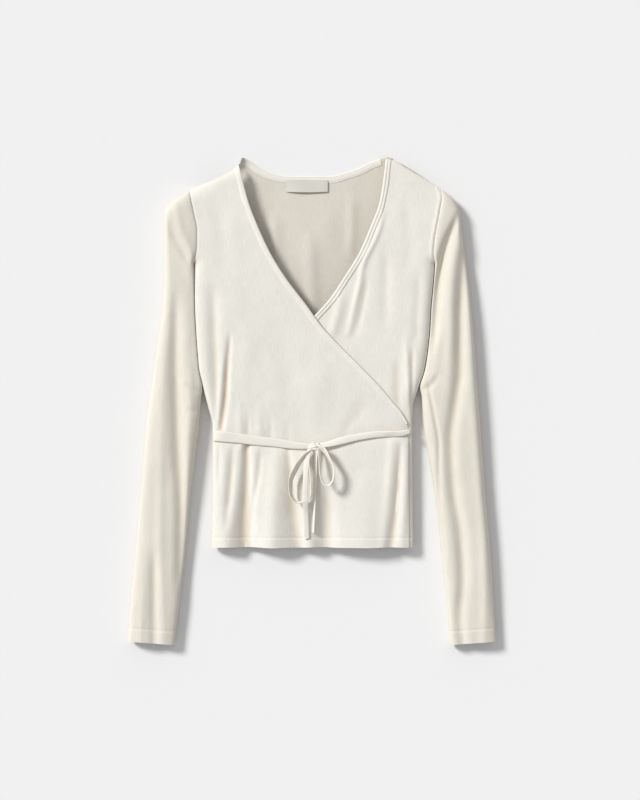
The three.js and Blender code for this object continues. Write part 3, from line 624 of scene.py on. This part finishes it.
def sleeve(sections, side, creases, outwards, seed):
    sections = np.array(sections, float)
    at = np.arange(len(sections))
    tracks = [Curve(np.stack([at, sections[:, k]], 1)) for k in range(6)]

    def place(u, v):
        # more rows in the cap, where the sections turn
        row = np.interp(v, [0, 0.28, 0.92, 1], [0, 3.6, 13.5, 14])
        body_x, body_y, far_x, far_y, height, seam = [track(row) for track in tracks]
        over = u < 0.7
        share = np.where(over, u / 0.7, 1 - (u - 0.7) / 0.3)
        share = 0.5 - 0.5 * np.cos(np.pi * np.clip(share, 0, 1)) * (0.55 + 0.45 * np.abs(2 * share - 1))
        width = np.hypot(far_x - body_x, far_y - body_y)
        y = body_y + (far_y - body_y) * share
        straight = body_x + (far_x - body_x) * share
        on_seam = side(np.maximum(y, UNDERARM_Y)) + outwards * SEAM_GAP
        x = straight + (on_seam - straight) * seam
        touching = smooth(0.14, 0, share) * smooth(4, 30, y) * smooth(UNDERARM_Y + 2, UNDERARM_Y - 10, y)
        x = x + (side(y) + outwards * (0.5 if outwards > 0 else 0.25) - x) * touching
        inset = np.minimum(share, 1 - share) * width
        round_ = quarter(inset / ROUND)
        fold = np.where(share < 0.5, side_height(x, y), SEAM_HEIGHT)
        rise = crease_rise(creases, x, y) * (1 - seam)
        rise = rise + (0.45 * wander(x, y, 38, seed) + 0.2 * wander(x, y, 15, seed + 4)) * (1 - seam)
        own = fold + (height - fold + rise) * round_
        top = own + (front_height(x, y) - own) * seam - armhole_dip(x, y, False) * smooth(0, 0.3, seam)
        length = (14 - row) * 36.0
        top = top + hem_fold(length)
        z = np.where(over, top, fold * (1 - round_))
        around = share * width + np.where(over, 0, 300)
        return x, y, z, around, -row * 36
    return place


# ---------------------------------------------------------------- camera, floor and light
VIEW_CENTRE = (11.2, 1.4)
VIEW_HIGH = 1120.0        # height of the picture at the garment
CAMERA_HEIGHT = 3000.0
GARMENT_LEVEL = 14.0

deselect()
bpy.ops.object.camera_add(location=(VIEW_CENTRE[0] * MM, VIEW_CENTRE[1] * MM, CAMERA_HEIGHT * MM),
    rotation=(0, 0, 0))
camera = bpy.context.object
camera.name = "camera"
camera.data.sensor_width = 36
camera.data.lens = 36 * (CAMERA_HEIGHT - GARMENT_LEVEL) / VIEW_HIGH
bpy.context.scene.camera = camera

deselect()
bpy.ops.mesh.primitive_plane_add(size=8, location=(0, 0, -0.0002))
floor = bpy.context.object
floor.name = "floor"
floor_finish = Finish("pale_floor")
floor_grain = floor_finish.node("ShaderNodeTexNoise", {}, floor_finish.node("ShaderNodeTexCoord", {},
    out="Object"), Scale=60.0, Detail=2.0)
floor_finish.set(Base_Color=floor_finish.blend(floor_grain, (0.835, 0.835, 0.837, 1),
    (0.845, 0.845, 0.845, 1)), Roughness=0.95)
floor_finish.shader.inputs["Specular IOR Level"].default_value = 0.0
floor.data.materials.append(floor_finish.material)

deselect()
bpy.ops.object.light_add(type="SUN", location=(-1, 1, 2))
key = bpy.context.object
key.name = "window_light"
key.rotation_mode = "QUATERNION"
key.rotation_quaternion = Vector((1.15, -0.85, -1.0)).to_track_quat("-Z", "Y")
key.data.energy = 3.05
key.data.angle = math.radians(15)
key.data.color = (1.0, 0.998, 0.99)

world = bpy.context.scene.world or bpy.data.worlds.new("room")
bpy.context.scene.world = world
world.use_nodes = True
world.node_tree.nodes["Background"].inputs["Color"].default_value = (0.985, 0.99, 1.0, 1)
world.node_tree.nodes["Background"].inputs["Strength"].default_value = 0.49
bpy.context.scene.view_settings.view_transform = "Standard"

# ---------------------------------------------------------------- finishes
rib_jersey = jersey("rib_jersey", (0.81, 0.785, 0.722, 1), (0.75, 0.723, 0.655, 1))
# Painted shade: the back and the sleeves get darker, warmer copies of the same jersey, standing in for the
# shade they lie in.
shaded_back_jersey = jersey("shaded_back_jersey", (0.69, 0.652, 0.578, 1), (0.64, 0.60, 0.524, 1))
shaded_sleeve_jersey = jersey("shaded_sleeve_jersey", (0.745, 0.708, 0.625, 1), (0.69, 0.652, 0.568, 1))
rib_binding = jersey("rib_binding", (0.825, 0.80, 0.735, 1), (0.775, 0.745, 0.675, 1), rib=0.6)
label_weave = plain_weave("label_weave", (0.66, 0.64, 0.59, 1), (0.60, 0.58, 0.525, 1), 0.0006)
sewing_thread = plain_weave("sewing_thread", (0.78, 0.75, 0.68, 1), (0.66, 0.62, 0.54, 1), 0.0003)

# ---------------------------------------------------------------- body and sleeves
back = sheet("back_cloth", 110, 150, panel(left_x, right_x, back_face, (True, True)), shaded_back_jersey,
    face="down")
belongs(back, "jersey", "back")
front_under = sheet("under_front_cloth", 130, 200, panel(under_x, right_x, under_height, (False, True)),
    rib_jersey)
belongs(front_under, "jersey", "front_under")
front_over = sheet("over_front_cloth", 150, 230, panel(left_x, over_x, over_height, (True, False)),
    rib_jersey)
belongs(front_over, "jersey", "front_over")
sleeve_left = sheet("left_sleeve_cloth", 100, 240, sleeve(LEFT_SLEEVE, left_x, LEFT_SLEEVE_CREASES, -1,
    21.0), shaded_sleeve_jersey, closed=True)
belongs(sleeve_left, "jersey", "sleeve_left")
sleeve_right = sheet("right_sleeve_cloth", 100, 240, sleeve(RIGHT_SLEEVE, right_x, RIGHT_SLEEVE_CREASES, 1,
    33.0), shaded_sleeve_jersey, closed=True)
belongs(sleeve_right, "jersey", "sleeve_right")


# ---------------------------------------------------------------- bindings and neck tape
def edge_strip(edge, height, inwards, section, seed, narrows=False):
    """A strip folded over a free edge. `section` is its (inward, up) profile over the cloth."""
    section = np.array(section, float)
    girth = arc_length(section[:, 0], section[:, 1])
    inward_of = Curve(np.stack([girth, section[:, 0]], 1))
    up_of = Curve(np.stack([girth, section[:, 1]], 1))

    def place(u, v):
        ex, ey = edge(v)
        ahead, behind = edge(np.minimum(v + 0.004, 1)), edge(np.maximum(v - 0.004, 0))
        run_x, run_y = ahead[0] - behind[0], ahead[1] - behind[1]
        size = np.hypot(run_x, run_y)
        in_x, in_y = -run_y / size * inwards, run_x / size * inwards
        inward, up = inward_of(u * girth[-1]), up_of(u * girth[-1])
        uneven = 1 + 0.1 * wander(ex, ey, 21, seed)
        if narrows:
            uneven = uneven * (0.35 + 0.65 * smooth(0, 0.14, v))
        x, y = ex + in_x * inward * uneven, ey + in_y * inward * uneven
        z = height(ex + in_x * np.clip(inward, 0.4, None), ey + in_y * np.clip(inward, 0.4, None)) + up
        z = z + 0.12 * wander(x, y, 6, seed + 2) * (up > 0.5)
        return x, y, z, u * girth[-1], v * 400
    return place


OVER_SECTION = [(3.0, -1.5), (0.8, -1.5), (-0.4, -0.9), (-0.7, 0.1), (-0.1, 0.95), (1.2, 1.35),
                (3.2, 1.3), (4.8, 0.95), (6.0, 0.55), (7.0, 0.2), (7.4, -0.15)]
UNDER_SECTION = [(3.0, -1.4), (0.8, -1.4), (-0.4, -0.8), (-0.7, 0.1), (-0.1, 0.95), (1.2, 1.3),
                 (2.7, 1.2), (3.4, 0.55), (4.1, 1.1), (5.6, 1.1), (6.8, 0.8), (7.4, 0.15)]
TAPE_SECTION = [(-0.6, 0.2), (0.1, 0.8), (1.0, 1.05), (1.6, 0.75), (2.3, 1.0), (4.5, 1.0),
                (6.4, 0.9), (7.0, 0.55), (7.7, 0.75), (8.6, 0.5), (9.0, 0.05)]


def over_edge_route(v):
    y = WAIST_Y + 4 + (NECK_LEFT[1] - 6 - WAIST_Y - 4) * v
    return over_x(y), y


def under_edge_route(v):
    y = CROSSING_Y - 6 + (NECK_RIGHT[1] - 3 - CROSSING_Y + 6) * v
    return under_x(y), y


def neck_route(v):
    x = NECK_LEFT[0] + 9 + (NECK_RIGHT[0] - 8 - NECK_LEFT[0] - 9) * v
    return x, top_y(x) - 0.6


binding_over = sheet("over_front_binding", 26, 330, edge_strip(over_edge_route, over_height, 1,
    OVER_SECTION, 2.0, True), rib_binding, thick=0.55)
belongs(binding_over, "binding", "binding_over_front")
binding_under = sheet("under_front_binding", 26, 190, edge_strip(under_edge_route, under_height, -1,
    UNDER_SECTION, 7.0), rib_binding, thick=0.55)
belongs(binding_under, "binding", "binding_under_front")
tape = sheet("neck_binding", 24, 160, edge_strip(neck_route, lambda x, y: back_face(x, y) + CLOTH, -1,
    TAPE_SECTION, 11.0), rib_binding, thick=0.5)
belongs(tape, "binding", "neck_tape")


# ---------------------------------------------------------------- label
def label_place(u, v):
    x = -36.5 + 58.5 * u
    y = 294 + 16.5 * v - 0.9 * np.sin(np.pi * u) * (1 - v)
    bow = 2.4 * (1 - (2 * u - 1) ** 2) * (1 - 0.7 * v) + 0.5 * np.sin(u * 7)
    return x, y, 2.6 + bow + 0.9 * u * (1 - v), x, y


label = sheet("plain_label", 48, 16, label_place, label_weave, thick=0.7)
belongs(label, "label", "neck_label")


# ---------------------------------------------------------------- ties, bow and knot
def tie_bed(x, y):
    """The cloth that the tie has pressed level."""
    return front_height(x, y, -1.3)


def ribbon(route, thick, count, over, fold=0.0):
    """Places of a soft flat tube along a route: x, y, height over the cloth, width, turn."""
    rows = through(route, count)
    x, y, lift, wide, turn = rows.T
    z = over(x, y) + lift
    line = np.stack([x, y, z], 1)
    tangent = np.gradient(line, axis=0)
    tangent /= np.linalg.norm(tangent, axis=1)[:, None]
    level = np.stack([-tangent[:, 1], tangent[:, 0], 0 * x], 1)
    level /= np.linalg.norm(level, axis=1)[:, None]
    upright = np.cross(tangent, level)
    across = level * np.cos(turn)[:, None] + upright * np.sin(turn)[:, None]
    out = np.cross(tangent, across)
    length = arc_length(*line.T)

    def place(u, v):
        k = np.clip(v * (count - 1), 0, count - 1)
        low = np.minimum(k.astype(int), count - 2)
        part = (k - low)[:, None]
        at = lambda values: values[low] * (1 - part) + values[low + 1] * part
        angle = 2 * np.pi * u
        c, s = np.cos(angle), np.sin(angle)
        side = np.sign(c) * np.abs(c) ** 0.8
        face = np.sign(s) * np.abs(s) ** 0.7
        w = at(wide[:, None])[:, 0] / 2
        slump = fold * thick * (1 - side ** 2)
        centre = at(line)
        spot = centre + at(across) * (side * w)[:, None] + at(out) * (face * thick / 2 - slump)[:, None]
        run = np.interp(v, np.linspace(0, 1, count), length)
        return spot[:, 0], spot[:, 1], spot[:, 2], side * w + np.where(s < 0, 40, 0), run
    return place, float(length[-1])


def tube(name, route, thick, count, material, over=tie_bed, columns=20, rows=None, fold=0.0):
    place, length = ribbon(route, thick, count, over, fold)
    piece = sheet(name, columns, rows or int(length / 1.2), place, material, thick=0, closed=True)
    edit(piece, (bpy.ops.mesh.select_all, {"action": "DESELECT"}),
         (bpy.ops.mesh.select_non_manifold, {}), (bpy.ops.mesh.edge_face_add, {}),
         (bpy.ops.mesh.select_all, {"action": "SELECT"}),
         (bpy.ops.mesh.normals_make_consistent, {"inside": False}))
    finish_piece(piece, material, 60)
    return piece


tie_left = tube("left_tie", TIE_LEFT, 2.6, 90, rib_binding, fold=0.1)
belongs(tie_left, "binding", "tie_left")
tie_right = tube("right_tie", TIE_RIGHT, 2.6, 90, rib_binding)
belongs(tie_right, "binding", "tie_right")
loop_left = tube("bow_loop_left", LOOP_LEFT, 1.9, 130, rib_binding)
belongs(loop_left, "binding", "tie_loop_left")
loop_right = tube("bow_loop_right", LOOP_RIGHT, 1.9, 110, rib_binding)
belongs(loop_right, "binding", "tie_loop_right")
tail_long = tube("bow_tail_long", TAIL_LONG, 2.0, 80, rib_binding)
belongs(tail_long, "binding", "tie_tail_long")
tail_short = tube("bow_tail_short", TAIL_SHORT, 2.0, 80, rib_binding)
belongs(tail_short, "binding", "tie_tail_short")

knot_z = float(tie_bed(np.array([KNOT[0]]), np.array([KNOT[1]]))[0]) + KNOT[2]
deselect()
bpy.ops.mesh.primitive_uv_sphere_add(segments=40, ring_count=24, radius=0.5)
knot = bpy.context.object
knot.name = knot.data.name = "bow_knot"
knot.data.uv_layers[0].name = "cloth"
for vertex in knot.data.vertices:
    x, y, z = vertex.co * 2
    swell = 1 + 0.1 * math.sin(3 * x + 5 * y) + 0.08 * math.cos(9 * y - 3 * x)
    slant = x + 0.35 * y
    groove = 1 - 0.22 * math.exp(-(((slant - 0.42) / 0.14) ** 2))
    groove = groove - 0.2 * math.exp(-(((slant + 0.5) / 0.14) ** 2))
    vertex.co = (KNOT[0] * MM + x * 0.0092 * swell * groove, KNOT[1] * MM + y * 0.0062 * swell * groove,
                 knot_z * MM + z * 0.0046 * swell * groove)
for corner in knot.data.uv_layers[0].data:
    corner.uv = (corner.uv[0] * 0.05, corner.uv[1] * 0.02)
finish_piece(knot, rib_binding, 80)
belongs(knot, "binding", "tie_knot")
